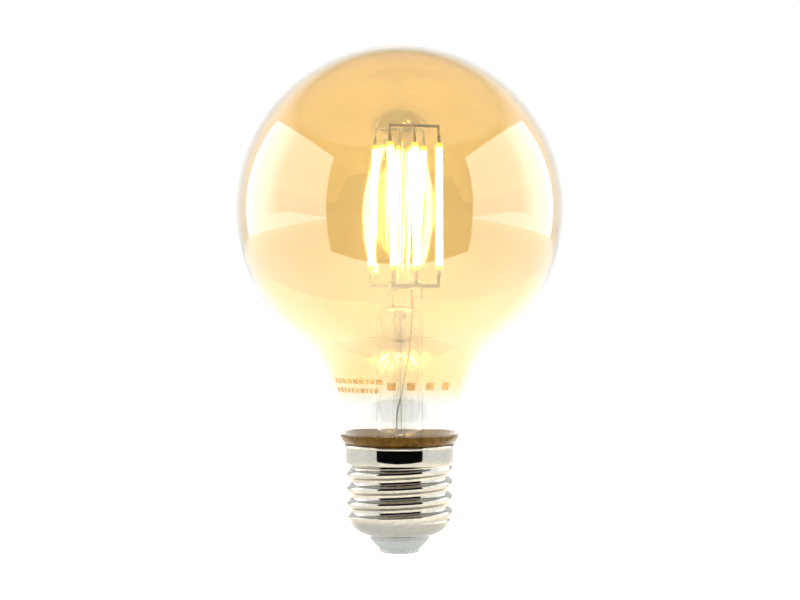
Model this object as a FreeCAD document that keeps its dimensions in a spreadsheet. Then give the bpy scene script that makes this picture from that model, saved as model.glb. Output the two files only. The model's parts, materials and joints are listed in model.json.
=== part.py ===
"""Filament globe lamp with an E27 screw cap, as a parametric assembly in millimetres.

Frame: the origin is the centre of the end contact's flat face, +Z runs up the lamp's axis to the
top of the globe, and -Y is the lamp's front. Every sub-part is a node of its own.
"""
import FreeCAD, Part
import Sketcher
import math
import os

from FreeCAD import Placement, Rotation, Vector

os.makedirs("parts", exist_ok=True)
doc = FreeCAD.newDocument("filament_globe_lamp")

# ---------------------------------------------------------------- driving dimensions

DIMENSIONS = [
    # glass envelope
    ("globe_radius", 40.0),
    ("lamp_length", 124.1),
    ("glass_wall", 0.8),
    ("shoulder_blend", 21.5),
    ("neck_radius", 15.85),
    ("neck_low", 34.0),
    ("neck_rounding", 10.0),
    ("skirt_radius", 11.0),
    ("skirt_blend", 2.5),
    ("seal_height", 20.3),
    # stem, exhaust tube and support rod
    ("stem_radius", 5.7),
    ("stem_low", 29.0),
    ("stem_high", 57.0),
    ("flare_radius", 10.2),
    ("dome_top", 60.3),
    ("dome_rounding", 3.3),
    ("press_width", 5.5),
    ("press_depth", 3.0),
    ("press_top", 65.5),
    ("press_offset", 0.8),
    ("exhaust_radius", 1.6),
    ("exhaust_bore", 1.0),
    ("exhaust_low", 16.5),
    ("rod_radius", 1.6),
    ("rod_top", 104.2),
    # wires
    ("lead_wire_radius", 0.2),
    ("dumet_radius", 0.22),
    ("inner_lead_radius", 0.2),
    ("link_wire_radius", 0.2),
    ("hookup_wire_radius", 0.25),
    # filament cage
    ("cage_low_offset", 1.35),
    ("cage_high_offset", 1.84),
    ("cage_low_turn", 28.0),
    ("cage_high_turn", 17.0),
    ("panel_gap", 12.2),
    ("filament_pitch", 6.2),
    ("bracket_depth", 0.5),
    ("bracket_clearance", 0.48),
    ("lower_bar", 65.3),
    ("lower_bar_width", 0.85),
    ("lower_post_width", 0.7),
    ("lower_post_end", 68.3),
    ("upper_bar", 104.1),
    ("upper_bar_width", 0.68),
    ("upper_post_width", 0.5),
    ("upper_post_end", 100.5),
    ("weld_knob_radius", 0.5),
    # filaments
    ("filament_middle", 84.6),
    ("coating_radius", 0.85),
    ("coating_length", 31.0),
    ("coating_rounding", 0.4),
    ("strip_length", 30.0),
    ("strip_width", 0.9),
    ("strip_depth", 0.3),
    ("chip_count", 24),
    ("chip_length", 0.7),
    ("chip_width", 0.4),
    ("chip_depth", 0.15),
    ("tab_length", 2.3),
    ("tab_width", 0.75),
    ("tab_depth", 0.25),
    ("tab_hole_radius", 0.17),
    # screw cap
    ("thread_pitch", 3.629),
    ("thread_crest", 13.1),
    ("thread_depth", 1.0),
    ("first_crest", 8.15),
    ("cap_sheet", 0.3),
    ("collar_radius", 13.25),
    ("cement_low", 23.0),
    ("rim_radius", 13.6),
    ("rim_height", 26.6),
    ("rim_roll", 0.9),
    ("cap_hole_radius", 7.0),
    ("cap_hole_height", 4.2),
    ("cement_top", 28.9),
    # insulator and end contact
    ("contact_radius", 4.9),
    ("contact_depth", 0.9),
    ("rivet_radius", 1.4),
    ("rivet_head_radius", 2.1),
    ("insulator_radius", 7.3),
    ("insulator_lip_radius", 7.9),
    ("insulator_top", 5.5),
    # driver inside the cap
    ("board_radius", 10.7),
    ("board_depth", 1.0),
    ("board_low", 11.6),
    ("solder_hole_radius", 0.36),
    ("liner_radius", 11.6),
    ("liner_wall", 0.7),
    ("liner_top", 18.4),
]

sheet = doc.addObject("Spreadsheet::Sheet", "Sizes")
for row, (alias, value) in enumerate(DIMENSIONS, start=1):
    sheet.set(f"A{row}", alias)
    sheet.set(f"B{row}", str(value))
    sheet.setAlias(f"B{row}", alias)
doc.recompute()


class Size:
    """A size worked out from the sheet: its value, and the expression that keeps it bound."""

    def __init__(self, value, text):
        self.value = value
        self.text = text

    def __add__(self, other):
        other = as_size(other)
        return Size(self.value + other.value, f"({self.text} + {other.text})")

    def __sub__(self, other):
        other = as_size(other)
        return Size(self.value - other.value, f"({self.text} - {other.text})")

    def __mul__(self, other):
        other = as_size(other)
        return Size(self.value * other.value, f"({self.text} * {other.text})")

    def __truediv__(self, other):
        other = as_size(other)
        return Size(self.value / other.value, f"({self.text} / {other.text})")

    def __neg__(self):
        return Size(-self.value, f"(0 - {self.text})")


def as_size(number):
    """A plain number as a Size, and a Size as it is."""
    return number if isinstance(number, Size) else Size(float(number), repr(float(number)))


def size(alias):
    """The sheet's cell of this alias."""
    return Size(float(sheet.get(alias)), f"Sizes.{alias}")


def root(number):
    """The square root of a Size."""
    return Size(math.sqrt(number.value), f"sqrt({number.text})")


def sine(degrees):
    """The sine of a Size in degrees."""
    return Size(math.sin(math.radians(degrees.value)), f"sin({degrees.text} * 1deg)")


def cosine(degrees):
    """The cosine of a Size in degrees."""
    return Size(math.cos(math.radians(degrees.value)), f"cos({degrees.text} * 1deg)")


# ---------------------------------------------------------------- building blocks

nodes = []


def node(part, label):
    """Names a finished sub-part and lists it as a node."""
    part.Label = label
    nodes.append(part)
    return part


def bind(part, **sizes):
    """Binds properties such as Radius or Height to the sheet."""
    for name, number in sizes.items():
        part.setExpression(name, as_size(number).text)


def place(part, x, y, z, rotation=Rotation()):
    """Puts a part at a position bound to the sheet."""
    x, y, z = as_size(x), as_size(y), as_size(z)
    part.Placement = Placement(Vector(x.value, y.value, z.value), rotation)
    part.setExpression("Placement.Base.x", x.text)
    part.setExpression("Placement.Base.y", y.text)
    part.setExpression("Placement.Base.z", z.text)
    return part


def origin_feature(body, role):
    """A body's own origin plane or axis."""
    return next(item for item in body.Origin.OriginFeatures if item.Role == role)


def new_sketch(body, name, plane):
    """A sketch on one of the body's own origin planes."""
    sketch = body.newObject("Sketcher::SketchObject", name)
    sketch.AttachmentSupport = (origin_feature(body, plane), [""])
    sketch.MapMode = "FlatFace"
    return sketch


def fix_point(sketch, edge, end, x, y):
    """Holds one end of an edge at a place bound to the sheet; zero means on the axis."""
    for kind, number, axis in (("DistanceX", as_size(x), -2), ("DistanceY", as_size(y), -1)):
        if number.text == "0.0":
            sketch.addConstraint(Sketcher.Constraint("PointOnObject", edge, end, axis))
        else:
            index = sketch.addConstraint(Sketcher.Constraint(kind, edge, end, number.value))
            sketch.setExpression(f"Constraints[{index}]", number.text)


def draw_outline(sketch, corners):
    """Draws a closed outline from corners (x, y), or (x, y, radius, centre) for an arc to the next."""
    ends = []
    for index, corner in enumerate(corners):
        following = corners[(index + 1) % len(corners)]
        start = Vector(as_size(corner[0]).value, as_size(corner[1]).value)
        stop = Vector(as_size(following[0]).value, as_size(following[1]).value)
        if len(corner) == 2:
            edge = sketch.addGeometry(Part.LineSegment(start, stop), False)
            ends.append((edge, 1, 2))
            continue
        radius = as_size(corner[2])
        centre = Vector(as_size(corner[3][0]).value, as_size(corner[3][1]).value)
        first, last = start - centre, stop - centre
        backwards = first.cross(last).z < 0
        if backwards:
            first, last = last, first
        circle = Part.Circle(centre, Vector(0, 0, 1), radius.value)
        arc = Part.ArcOfCircle(circle, math.atan2(first.y, first.x), math.atan2(last.y, last.x))
        edge = sketch.addGeometry(arc, False)
        ends.append((edge, 2, 1) if backwards else (edge, 1, 2))
        constraint = sketch.addConstraint(Sketcher.Constraint("Radius", edge, radius.value))
        sketch.setExpression(f"Constraints[{constraint}]", radius.text)
    for index, corner in enumerate(corners):
        edge, start, stop = ends[index]
        next_edge, next_start, _ = ends[(index + 1) % len(ends)]
        sketch.addConstraint(Sketcher.Constraint("Coincident", edge, stop, next_edge, next_start))
        fix_point(sketch, edge, start, corner[0], corner[1])


def rectangle(width, depth, x=0.0, y=0.0):
    """The corners of a rectangle centred on (x, y)."""
    half_width, half_depth = as_size(width) / 2, as_size(depth) / 2
    x, y = as_size(x), as_size(y)
    return [
        (x - half_width, y - half_depth),
        (x + half_width, y - half_depth),
        (x + half_width, y + half_depth),
        (x - half_width, y + half_depth),
    ]


def draw_circle(sketch, radius, x=0.0, y=0.0):
    """Draws a circle with its radius and centre bound to the sheet."""
    radius = as_size(radius)
    centre = Vector(as_size(x).value, as_size(y).value)
    edge = sketch.addGeometry(Part.Circle(centre, Vector(0, 0, 1), radius.value), False)
    index = sketch.addConstraint(Sketcher.Constraint("Radius", edge, radius.value))
    sketch.setExpression(f"Constraints[{index}]", radius.text)
    fix_point(sketch, edge, 3, x, y)


def new_body(name):
    """An empty PartDesign body."""
    return doc.addObject("PartDesign::Body", name)


def revolved(name, corners):
    """A body turned about Z from an outline of (radius, height) corners."""
    body = new_body(name)
    sketch = new_sketch(body, f"{name}_section", "XZ_Plane")
    draw_outline(sketch, corners)
    doc.recompute()
    turn = body.newObject("PartDesign::Revolution", f"{name}_turn")
    turn.Profile = (sketch, [""])
    turn.ReferenceAxis = (sketch, ["V_Axis"])
    turn.Angle = 360.0
    body.Tip = turn
    return body


def pad(body, sketch, length, name):
    """Adds a pad of a sketch, as far to one side as to the other."""
    feature = body.newObject("PartDesign::Pad", name)
    feature.Profile = (sketch, [""])
    feature.SideType = "Symmetric"
    bind(feature, Length=length)
    body.Tip = feature
    return feature


def box(name, width, depth, height, x, y, z):
    """A box centred on (x, y) that stands at height z."""
    part = doc.addObject("Part::Box", name)
    bind(part, Length=width, Width=depth, Height=height)
    return place(part, as_size(x) - as_size(width) / 2, as_size(y) - as_size(depth) / 2, z)


def cylinder(name, radius, height, x, y, z):
    """An upright cylinder that stands at height z."""
    part = doc.addObject("Part::Cylinder", name)
    bind(part, Radius=radius, Height=height)
    return place(part, x, y, z)


def fused(name, parts):
    """Several shapes joined into one."""
    union = doc.addObject("Part::MultiFuse", name)
    union.Shapes = parts
    return union


def cut_by(name, base, tools):
    """A shape with the room for other sub-parts cut out of it."""
    cut = doc.addObject("Part::Cut", name)
    cut.Base = base
    cut.Tool = tools[0] if len(tools) == 1 else fused(f"{name}_room", tools)
    return cut


def bent_wire(name, radius, points, bend):
    """A round wire along straight runs that tangent arcs of one bend radius join."""
    corners = [Vector(*[as_size(number).value for number in point]) for point in points]
    edges = []
    start = corners[0]
    for before, corner, after in zip(corners, corners[1:], corners[2:]):
        inward = (before - corner).normalize()
        outward = (after - corner).normalize()
        half_angle = inward.getAngle(outward) / 2
        shorter_run = min((before - corner).Length, (after - corner).Length)
        reach = min(bend / math.tan(half_angle), 0.45 * shorter_run)
        middle = (inward + outward).normalize()
        arc_radius = reach * math.tan(half_angle)
        centre = corner + middle * (arc_radius / math.sin(half_angle))
        enter = corner + inward * reach
        leave = corner + outward * reach
        edges.append(Part.LineSegment(start, enter).toShape())
        edges.append(Part.Arc(enter, centre - middle * arc_radius, leave).toShape())
        start = leave
    edges.append(Part.LineSegment(start, corners[-1]).toShape())
    path = doc.addObject("Part::Feature", f"{name}_path")
    path.Shape = Part.Wire(edges)
    section = doc.addObject("Part::Circle", f"{name}_section")
    bind(section, Radius=radius)
    section.Placement = Placement(corners[0], Rotation(Vector(0, 0, 1), corners[1] - corners[0]))
    wire = doc.addObject("Part::Sweep", name)
    wire.Sections = [section]
    wire.Spine = (path, [])
    wire.Solid = True
    return wire


# ---------------------------------------------------------------- glass

def blend_between(first_centre, first_radius, second_centre, second_radius, shift):
    """The point where two circles that touch from outside meet, moved towards the first centre."""
    share = (first_radius - shift) / (first_radius + second_radius)
    x = first_centre[0] + (second_centre[0] - first_centre[0]) * share
    z = first_centre[1] + (second_centre[1] - first_centre[1]) * share
    return x, z


def envelope_centres():
    """Arc centres of the globe, the shoulder, the neck's rounding and the skirt's blend."""
    globe = (as_size(0.0), size("lamp_length") - size("globe_radius"))
    shoulder_x = size("neck_radius") + size("shoulder_blend")
    reach = size("globe_radius") + size("shoulder_blend")
    shoulder = (shoulder_x, globe[1] - root(reach * reach - shoulder_x * shoulder_x))
    rounding = (size("neck_radius") - size("neck_rounding"), size("neck_low"))
    skirt_x = size("skirt_radius") + size("skirt_blend")
    aside = skirt_x - rounding[0]
    reach = size("neck_rounding") + size("skirt_blend")
    skirt = (skirt_x, rounding[1] - root(reach * reach - aside * aside))
    return globe, shoulder, rounding, skirt


def envelope_side(inset):
    """One side of the glass wall from the globe's top down to the skirt, set in by a distance."""
    inset = as_size(inset)
    globe, shoulder, rounding, skirt = envelope_centres()
    ball = size("globe_radius")
    blend = size("shoulder_blend")
    neck = size("neck_rounding")
    low_blend = size("skirt_blend")
    return [
        (0.0, globe[1] + ball - inset, ball - inset, globe),
        (*blend_between(globe, ball, shoulder, blend, inset), blend + inset, shoulder),
        (size("neck_radius") - inset, shoulder[1]),
        (size("neck_radius") - inset, rounding[1], neck - inset, rounding),
        (*blend_between(rounding, neck, skirt, low_blend, inset), low_blend + inset, skirt),
        (size("skirt_radius") - inset, skirt[1]),
    ]


def reversed_side(side, last):
    """The same outline walked the other way, so that each arc starts at its other end."""
    points = [corner[:2] for corner in side] + [last]
    arcs = [corner[2:] for corner in side]
    return [(*points[index + 1], *arcs[index]) for index in range(len(side) - 1, -1, -1)]


def make_glass_envelope():
    """The blown globe with its shoulder, neck and the skirt that is sealed to the stem."""
    lip = size("glass_wall") / 2
    seal = size("seal_height")
    skirt = size("skirt_radius")
    wall = size("glass_wall")
    inside_foot = (skirt - wall, seal)
    corners = envelope_side(0.0)
    corners.append((skirt, seal + lip, lip, (skirt - lip, seal + lip)))
    corners.append((skirt - lip, seal))
    corners.extend(reversed_side(envelope_side(wall), inside_foot))
    corners.append((0.0, size("lamp_length") - wall))
    return node(revolved("glass_envelope", corners), "glass_envelope")


def flare_centre():
    """Arc centre of the trumpet that widens the stem tube to its sealed rim."""
    rise = size("stem_low") - size("seal_height") - size("glass_wall")
    aside = size("flare_radius") - size("stem_radius")
    bend = (aside * aside + rise * rise) / (aside * 2)
    return bend, (size("stem_radius") + bend, size("stem_low"))


def make_glass_stem(wires):
    """The flared stem tube with its dome and the flat press, moulded round the wires."""
    wall = size("glass_wall")
    seal = size("seal_height")
    bend, centre = flare_centre()
    drop = centre[1] - seal
    inner_rim = centre[0] - root((bend + wall) * (bend + wall) - drop * drop)
    dome = size("dome_rounding")
    dome_flat = size("stem_radius") - dome
    corners = [
        (0.0, size("dome_top")),
        (dome_flat, size("dome_top"), dome, (dome_flat, size("stem_high"))),
        (size("stem_radius"), size("stem_high")),
        (size("stem_radius"), size("stem_low"), bend, centre),
        (size("flare_radius"), seal + wall),
        (size("flare_radius"), seal),
        (inner_rim, seal, bend + wall, centre),
        (size("stem_radius") - wall, size("stem_low")),
        (size("stem_radius") - wall, size("stem_high"), dome - wall, (dome_flat, size("stem_high"))),
        (dome_flat, size("dome_top") - wall),
        (0.0, size("dome_top") - wall),
    ]
    tube = revolved("stem_tube", corners)
    press_low = size("dome_top") - wall / 2
    press = box(
        "stem_press",
        size("press_width"), size("press_depth"), size("press_top") - press_low,
        size("press_offset"), 0.0, press_low,
    )
    doc.recompute()
    rounded = doc.addObject("Part::Fillet", "stem_press_rounded")
    rounded.Base = press
    upright = [number for number, edge in enumerate(press.Shape.Edges, start=1)
               if abs(edge.tangentAt(edge.FirstParameter).z) > 0.9]
    rounded.Edges = [(number, wall.value, wall.value) for number in upright]
    glass = fused("stem_glass", [tube, rounded])
    return node(cut_by("glass_stem", glass, wires), "glass_stem")


def make_exhaust_tube():
    """The thin tube inside the stem, through which the globe is filled, tipped off at its foot."""
    outer = size("exhaust_radius")
    bore = size("exhaust_bore")
    low = size("exhaust_low")
    top = size("dome_top") - size("glass_wall")
    corners = [
        (0.0, low, outer, (0.0, low + outer)),
        (outer, low + outer),
        (outer, top),
        (bore, top),
        (bore, low + outer, bore, (0.0, low + outer)),
        (0.0, low + outer - bore),
    ]
    return node(revolved("exhaust_tube", corners), "exhaust_tube")


def make_support_rod(link_wire):
    """The glass rod that rises from the press and carries the upper link wire in its ball end."""
    gap = 0.05
    low = size("press_top") + gap
    length = size("rod_top") - low
    lean = size("cage_high_offset") - size("press_offset")
    shaft = doc.addObject("Part::Cylinder", "rod_shaft")
    bind(shaft, Radius=size("rod_radius"), Height=root(length * length + lean * lean))
    along = Vector(lean.value, 0, length.value)
    place(shaft, size("press_offset"), 0.0, low, Rotation(Vector(0, 0, 1), along))
    ball = doc.addObject("Part::Sphere", "rod_ball")
    bind(ball, Radius=size("rod_radius"))
    place(ball, size("cage_high_offset"), 0.0, size("rod_top"))
    rod = fused("rod_glass", [shaft, ball])
    return node(cut_by("glass_support_rod", rod, [link_wire]), "glass_support_rod")


# ---------------------------------------------------------------- filament cage

FRONT, BACK = 1, -1


def panel_point(level, side, along, inward=0.0):
    """A point of a filament panel: level is low or high, side FRONT or BACK, along in millimetres."""
    offset = size(f"cage_{level}_offset")
    turn = size(f"cage_{level}_turn")
    out = (size("panel_gap") / 2 - inward) * side
    x = offset + out * sine(turn) + as_size(along) * cosine(turn)
    y = -(out * cosine(turn)) + as_size(along) * sine(turn)
    return x, y


def make_bracket(label, level, side, bar, bar_width, post_width, post_end):
    """An E-shaped metal bracket: a bar with three posts, and a weld knob between each two."""
    pitch = size("filament_pitch")
    half = size(post_width) / 2
    bar_inner = size(bar_width) / 2
    end = size(post_end) - size(bar)
    if end.value < 0:
        bar_inner = -bar_inner
    bar_outer = -bar_inner
    body = new_body(label)
    outline = new_sketch(body, f"{label}_outline", "XZ_Plane")
    draw_outline(outline, [
        (-pitch - half, bar_outer), (pitch + half, bar_outer),
        (pitch + half, end), (pitch - half, end),
        (pitch - half, bar_inner), (half, bar_inner),
        (half, end), (-half, end),
        (-half, bar_inner), (half - pitch, bar_inner),
        (half - pitch, end), (-pitch - half, end),
    ])
    doc.recompute()
    pad(body, outline, size("bracket_depth"), f"{label}_plate")
    knobs = new_sketch(body, f"{label}_knob_outline", "XZ_Plane")
    for share in (-0.5, 0.5):
        draw_circle(knobs, size("weld_knob_radius"), pitch * share, 0.0)
    doc.recompute()
    pad(body, knobs, size("bracket_depth"), f"{label}_knobs")
    x, y = panel_point(level, side, 0.0, size("bracket_clearance"))
    place(body, x, y, size(bar), Rotation(Vector(0, 0, 1), size(f"cage_{level}_turn").value))
    return node(body, label)


def filament_placement(side, along):
    """Where a filament stands: its middle, and the lean from its lower to its upper end."""
    low = size("lower_post_end")
    high = size("upper_post_end")
    foot = panel_point("low", side, along)
    head = panel_point("high", side, along)
    share = (size("filament_middle") - low) / (high - low)
    middle = [foot[axis] + (head[axis] - foot[axis]) * share for axis in (0, 1)]
    upward = Vector(
        head[0].value - foot[0].value,
        head[1].value - foot[1].value,
        high.value - low.value,
    )
    turn = math.radians((size("cage_low_turn").value + size("cage_high_turn").value) / 2)
    across = Vector(math.cos(turn), math.sin(turn), 0)
    rotation = Rotation(across, Vector(), upward, "ZXY")
    return middle[0], middle[1], size("filament_middle"), rotation


def make_filament_strip(label, spot):
    """The ceramic strip of a filament with its row of light-emitting chips."""
    body = new_body(label)
    across = new_sketch(body, f"{label}_section", "XY_Plane")
    draw_outline(across, rectangle(size("strip_width"), size("strip_depth")))
    doc.recompute()
    pad(body, across, size("strip_length"), f"{label}_plate")
    pitch = size("strip_length") / size("chip_count")
    chip = new_sketch(body, f"{label}_chip_outline", "XY_Plane")
    stand = (size("strip_depth") + size("chip_depth")) / 2
    draw_outline(chip, rectangle(size("chip_width"), size("chip_depth"), 0.0, stand))
    chip.setExpression("AttachmentOffset.Base.z", (pitch / 2 - size("strip_length") / 2).text)
    doc.recompute()
    first = pad(body, chip, size("chip_length"), f"{label}_chip")
    row_of_chips = body.newObject("PartDesign::LinearPattern", f"{label}_chips")
    row_of_chips.Originals = [first]
    row_of_chips.Direction = (origin_feature(body, "Z_Axis"), [""])
    bind(row_of_chips, Length=size("strip_length") - pitch, Occurrences=size("chip_count"))
    body.Tip = row_of_chips
    place(body, *spot)
    return node(body, label)


def make_filament_tab(label, end, spot):
    """A pierced metal tab at the upper (+1) or lower (-1) end of a filament."""
    body = new_body(label)
    middle = (size("strip_length") + size("tab_length")) / 2 * end
    outline = new_sketch(body, f"{label}_outline", "XZ_Plane")
    draw_outline(outline, rectangle(size("tab_width"), size("tab_length"), 0.0, middle))
    draw_circle(outline, size("tab_hole_radius"), 0.0, middle)
    doc.recompute()
    pad(body, outline, size("tab_depth"), f"{label}_plate")
    place(body, *spot)
    return node(body, label)


def make_filament(number, side, along):
    """One filament: strip and tabs inside a round phosphor coating."""
    spot = filament_placement(side, along)
    strip = make_filament_strip(f"filament_{number}_strip", spot)
    lower_tab = make_filament_tab(f"filament_{number}_lower_tab", -1, spot)
    upper_tab = make_filament_tab(f"filament_{number}_upper_tab", 1, spot)
    radius = size("coating_radius")
    rounding = size("coating_rounding")
    half = size("coating_length") / 2
    rod = revolved(f"filament_{number}_rod", [
        (0.0, -half),
        (radius - rounding, -half, rounding, (radius - rounding, rounding - half)),
        (radius, rounding - half),
        (radius, half - rounding, rounding, (radius - rounding, half - rounding)),
        (radius - rounding, half),
        (0.0, half),
    ])
    place(rod, *spot)
    label = f"filament_{number}_coating"
    return node(cut_by(label, rod, [strip, lower_tab, upper_tab]), label)


def make_cage():
    """The four brackets and the six filaments between them."""
    for side, name in ((FRONT, "front"), (BACK, "back")):
        make_bracket(
            f"lower_{name}_bracket", "low", side,
            "lower_bar", "lower_bar_width", "lower_post_width", "lower_post_end",
        )
        make_bracket(
            f"upper_{name}_bracket", "high", side,
            "upper_bar", "upper_bar_width", "upper_post_width", "upper_post_end",
        )
    number = 1
    for side in (FRONT, BACK):
        for step in (-1, 0, 1):
            make_filament(number, side, size("filament_pitch") * step)
            number += 1


# ---------------------------------------------------------------- wires in the glass

def hook_point(level, side, along, wire_radius):
    """Where a wire crosses a bracket on the bracket's outer face."""
    outward = size("bracket_depth") / 2 + size(wire_radius)
    return panel_point(level, side, along, size("bracket_clearance") - outward)


def make_dumet_seals():
    """The two short copper-clad wires that seal in the press."""
    front = bent_wire("dumet_seal_front", size("dumet_radius"), [
        (2.8, -0.6, 54.2), (3.0, -0.5, 58.2), (2.75, 0.0, 63.2),
    ], 4.0)
    back = bent_wire("dumet_seal_back", size("dumet_radius"), [
        (0.1, 2.4, 57.2), (-0.9, 2.0, 59.7), (-1.6, 0.0, 60.7), (-1.6, 0.0, 63.2),
    ], 1.2)
    return node(front, "dumet_seal_front"), node(back, "dumet_seal_back")


def make_lead_wires():
    """The two lead-in wires from the driver board up through the stem to the seals."""
    board_under = size("board_low") - 0.4
    front = bent_wire("lead_wire_front", size("lead_wire_radius"), [
        (-2.0, -4.5, board_under), (-2.0, -4.5, 15.0), (-0.9, -3.1, 24.0), (-0.6, -3.2, 34.7),
        (0.6, -3.3, 39.5), (2.2, -2.7, 48.8), (2.8, -0.62, 54.15),
    ], 12.0)
    back = bent_wire("lead_wire_back", size("lead_wire_radius"), [
        (2.5, 4.5, board_under), (2.5, 4.5, 15.0), (1.1, 3.1, 24.0), (0.7, 3.3, 36.0),
        (0.55, 3.1, 47.2), (0.1, 2.42, 57.1),
    ], 12.0)
    return node(front, "lead_wire_front"), node(back, "lead_wire_back")


def make_inner_leads():
    """The two wires from the seals over the lower brackets, turned down on their outer faces."""
    leads = []
    over = size("lower_bar") + 1.0
    end = size("lower_bar") - 3.2
    for name, side, foot_x, along in (("front", FRONT, 2.75, 1.2), ("back", BACK, -1.6, -1.2)):
        label = f"inner_lead_{name}"
        x, y = hook_point("low", side, along, "inner_lead_radius")
        lead = bent_wire(label, size("inner_lead_radius"), [
            (foot_x, 0.0, 63.25), (foot_x, 0.0, over), (x, y, over), (x, y, end),
        ], 0.6)
        leads.append(node(lead, label))
    return leads


def make_upper_link_wire():
    """The wire held in the support rod's ball, hooked over both upper brackets."""
    over = size("upper_bar") + 0.7
    end = size("upper_bar") - 0.7
    front = hook_point("high", FRONT, -0.3, "link_wire_radius")
    back = hook_point("high", BACK, 0.3, "link_wire_radius")
    wire = bent_wire("upper_link_wire", size("link_wire_radius"), [
        (*front, end), (*front, over), (*back, over), (*back, end),
    ], 0.4)
    return node(wire, "upper_link_wire")


# ---------------------------------------------------------------- screw cap

THREAD_TURNS = 4


def shell_side(inset):
    """One side of the rolled sheet from the collar down to the bowl, set in by a distance."""
    inset = as_size(inset)
    pitch = size("thread_pitch")
    depth = size("thread_depth")
    crest = size("thread_crest")
    hollow = crest - depth
    quarter = pitch / 4
    rounding = depth / 4 + quarter * quarter / depth
    rise = quarter / rounding
    reach = (rounding - depth / 2) / rounding
    first = size("first_crest")
    last = first + pitch * THREAD_TURNS
    bowl = hollow - size("cap_hole_radius")
    bowl_centre = (size("cap_hole_radius"), size("cap_hole_height") + bowl)

    def crest_arc(height):
        centre = (crest - rounding, height)
        start = (centre[0] + (rounding - inset) * reach, height + (rounding - inset) * rise)
        return (*start, rounding - inset, centre)

    def hollow_arc(height):
        centre = (hollow + rounding, height)
        start = (centre[0] - (rounding + inset) * reach, height + (rounding + inset) * rise)
        return (*start, rounding + inset, centre)

    corners = [
        (size("collar_radius") - inset, last + 0.25),
        (crest - inset, last, rounding - inset, (crest - rounding, last)),
    ]
    for turn in reversed(range(THREAD_TURNS)):
        corners.append(hollow_arc(first + pitch * (turn + 0.5)))
        if turn:
            corners.append(crest_arc(first + pitch * turn))
    corners.append((hollow - inset, first + pitch / 2))
    corners.append((hollow - inset, bowl_centre[1], bowl - inset, bowl_centre))
    return corners


def make_screw_shell():
    """The rolled sheet-metal screw shell, from the hole in its bowl to its rolled rim."""
    sheet_depth = size("cap_sheet")
    collar = size("collar_radius")
    top = size("rim_height")
    hole = size("cap_hole_radius")
    foot = size("cap_hole_height")
    roll = size("rim_roll")
    bulge = size("rim_radius") - collar
    roll_radius = (roll * roll / 4 + bulge * bulge) / (bulge * 2)
    corners = [
        (collar, top, roll_radius, (size("rim_radius") - roll_radius, top - roll / 2)),
        (collar, top - roll),
    ]
    corners.extend(shell_side(0.0))
    corners.append((hole, foot))
    inner_side = shell_side(sheet_depth)
    corners.extend(reversed_side(inner_side, (hole, foot + sheet_depth)))
    corners.append(inner_side[0])
    corners.append((collar - sheet_depth, top))
    return node(revolved("screw_shell", corners), "screw_shell")


def make_centre_contact():
    """The end contact: a disc with a rivet through the insulator."""
    disc = size("contact_radius")
    edge = size("contact_depth") / 2
    rivet = size("rivet_radius")
    head = size("rivet_head_radius")
    top = size("insulator_top")
    corners = [
        (0.0, 0.0),
        (disc - edge, 0.0, edge, (disc - edge, edge)),
        (disc, edge),
        (disc, size("contact_depth")),
        (rivet, size("contact_depth")),
        (rivet, top),
        (head, top),
        (head, top + 0.4),
        (0.0, top + 0.4),
    ]
    return node(revolved("centre_contact", corners), "centre_contact")


def make_cap_insulator():
    """The moulded insulator between the screw shell and the end contact."""
    outer = size("insulator_radius")
    hole = size("cap_hole_radius")
    foot = size("cap_hole_height")
    top = size("insulator_top")
    low = size("contact_depth")
    lip = size("insulator_lip_radius")
    corners = [
        (size("rivet_radius"), low),
        (size("contact_radius"), low),
        (outer - 0.1, foot - 0.9),
        (outer, foot),
        (hole, foot),
        (hole, top - 0.6),
        (lip, top - 0.6),
        (lip, top),
        (size("rivet_radius"), top),
    ]
    return node(revolved("cap_insulator", corners), "cap_insulator")


def make_basing_cement():
    """The cement that joins the cap to the glass, with a glossy fillet above the rim."""
    _, _, rounding, skirt = envelope_centres()
    neck = size("neck_rounding")
    blend = size("skirt_blend")
    bore = size("collar_radius") - size("cap_sheet")
    top = size("cement_top")
    drop = rounding[1] - top
    glass_x = rounding[0] + root(neck * neck - drop * drop)
    corners = [
        (size("skirt_radius"), size("cement_low")),
        (bore, size("cement_low")),
        (bore, size("rim_height")),
        (bore + 0.3, size("rim_height")),
        (glass_x, top, neck, rounding),
        (*blend_between(rounding, neck, skirt, blend, 0.0), blend, skirt),
        (size("skirt_radius"), skirt[1]),
    ]
    return node(revolved("basing_cement", corners), "basing_cement")


# ---------------------------------------------------------------- driver in the cap

FRONT_LEAD = (-2.0, -4.5)
BACK_LEAD = (2.5, 4.5)
NEUTRAL_LEAD = (-9.8, 0.0)


def make_driver_board():
    """The round circuit board, pierced where wires are soldered in."""
    body = new_body("driver_board")
    outline = new_sketch(body, "driver_board_outline", "XY_Plane")
    draw_circle(outline, size("board_radius"))
    for x, y in (FRONT_LEAD, BACK_LEAD, NEUTRAL_LEAD):
        draw_circle(outline, size("solder_hole_radius"), x, y)
    doc.recompute()
    pad(body, outline, size("board_depth"), "driver_board_plate")
    place(body, 0.0, 0.0, size("board_low") + size("board_depth") / 2)
    return node(body, "driver_board")


def make_insulating_liner():
    """The plastic sleeve that keeps the board clear of the screw shell."""
    outer = size("liner_radius")
    inner = outer - size("liner_wall")
    ledge = size("board_low")
    low = ledge - size("liner_wall")
    corners = [
        (inner - size("liner_wall"), low),
        (outer, low),
        (outer, size("liner_top")),
        (inner, size("liner_top")),
        (inner, ledge),
        (inner - size("liner_wall"), ledge),
    ]
    return node(revolved("insulating_liner", corners), "insulating_liner")


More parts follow.
